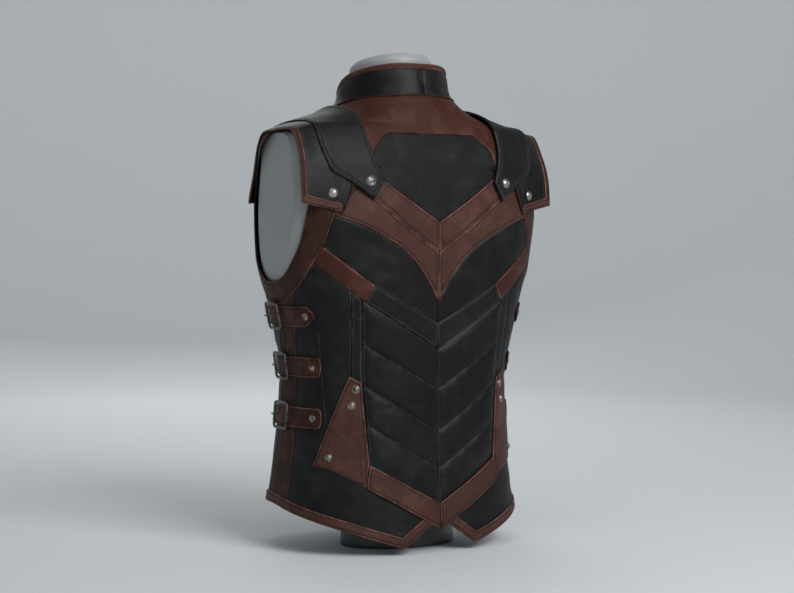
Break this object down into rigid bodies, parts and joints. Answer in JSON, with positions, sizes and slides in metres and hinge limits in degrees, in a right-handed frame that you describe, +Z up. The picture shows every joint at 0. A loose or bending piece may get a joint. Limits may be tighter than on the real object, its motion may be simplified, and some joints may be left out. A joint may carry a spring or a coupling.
{
  "type": "sleeveless leather armour vest on a limbless dress form",
  "caption": "Sleeveless two-colour leather armour vest with chevron bands, quilting, shoulder caps and buckled side straps, on a dress form.",
  "frame": {"origin": "under the middle of the dress form's foot, on the surface that it stands on", "axes": "+Z up, the back of the vest faces +Y, its front -Y, and the wearer's left is +X"},
  "size_m": [0.3888, 0.2582, 0.6571],
  "materials": {
    "brown_leather": "satin",
    "black_leather": "satin",
    "pewter": "satin",
    "silver": "polished",
    "form_grey": "satin",
    "foot_grey": "matte"
  },
  "bodies": {
    "root": {"armhole_facing_L": "brown_leather", "armhole_facing_R": "brown_leather", "upper_chevron_L": "brown_leather", "upper_chevron_R": "brown_leather", "lower_chevron_L": "brown_leather", "lower_chevron_R": "brown_leather", "band_L": "brown_leather", "band_R": "brown_leather", "side_stripe_back_L": "brown_leather", "side_stripe_back_R": "brown_leather", "side_stripe_front_L": "brown_leather", "side_stripe_front_R": "brown_leather", "gusset_L": "brown_leather", "gusset_R": "brown_leather", "hem_chevron_L": "brown_leather", "hem_chevron_R": "brown_leather", "hem_binding_L": "brown_leather", "hem_binding_R": "brown_leather", "shoulder_cap_binding_L": "brown_leather", "shoulder_cap_binding_R": "brown_leather", "side_strap_upper_L": "brown_leather", "side_strap_upper_R": "brown_leather", "side_strap_middle_L": "brown_leather", "side_strap_middle_R": "brown_leather", "side_strap_lower_L": "brown_leather", "side_strap_lower_R": "brown_leather", "wing_L": "black_leather", "wing_R": "black_leather", "band_inner_L": "black_leather", "band_inner_R": "black_leather", "quilted_back_L": "black_leather", "quilted_back_R": "black_leather", "princess_strip_L": "black_leather", "princess_strip_R": "black_leather", "side_back_L": "black_leather", "side_back_R": "black_leather", "front_L": "black_leather", "front_R": "black_leather", "collar_L": "black_leather", "collar_R": "black_leather", "shoulder_cap_L": "black_leather", "shoulder_cap_R": "black_leather", "shoulder_strap_L": "black_leather", "shoulder_strap_R": "black_leather", "buckle_upper_L": "pewter", "buckle_upper_R": "pewter", "buckle_middle_L": "pewter", "buckle_middle_R": "pewter", "buckle_lower_L": "pewter", "buckle_lower_R": "pewter", "strap_snap_L": "silver", "strap_snap_R": "silver", "cap_snap_L": "silver", "cap_snap_R": "silver", "back_yoke": "brown_leather", "back_centre_panel": "black_leather", "collar_binding": "brown_leather", "form_torso": "form_grey", "form_foot": "foot_grey"}
  },
  "joints": []
}
